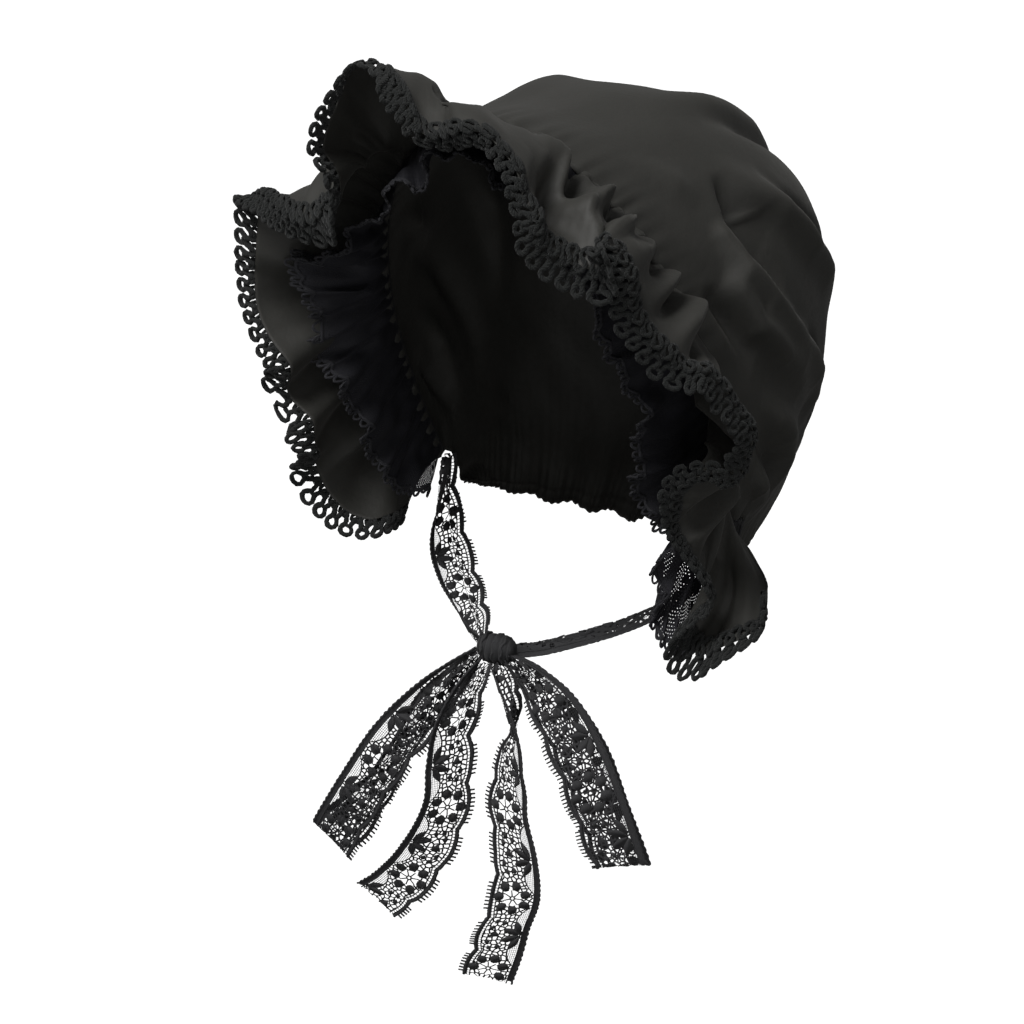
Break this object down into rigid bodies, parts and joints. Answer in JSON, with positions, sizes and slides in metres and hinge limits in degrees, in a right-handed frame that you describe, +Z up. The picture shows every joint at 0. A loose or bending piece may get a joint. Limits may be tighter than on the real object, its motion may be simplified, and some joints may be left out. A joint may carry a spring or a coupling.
{
  "type": "bonnet",
  "caption": "Black cotton bonnet with a gathered ruffle brim, picot loop trim, lace frill inside the brim, and lace ribbon ties tied in a bow under the chin.",
  "frame": {"origin": "on the inside of the crown at its top, straight above the line through the two lower corners, where the head carries the bonnet", "axes": "+Z up, the brim and the face opening toward -Y, +X toward the wearer's left"},
  "size_m": [0.2681, 0.2954, 0.4747],
  "materials": {
    "cotton": "matt",
    "trim_cord": "matt",
    "frill_lace": "matt",
    "ribbon_lace": "matt"
  },
  "bodies": {
    "root": {"crown": "cotton", "brim_ruffle": "cotton", "edge_trim": "trim_cord", "lace_frill": "frill_lace", "tie_left": "ribbon_lace", "tie_right": "ribbon_lace", "bow_loop_left": "ribbon_lace", "bow_loop_right": "ribbon_lace", "bow_tail_left": "ribbon_lace", "bow_tail_right": "ribbon_lace", "bow_knot": "ribbon_lace"}
  },
  "joints": []
}
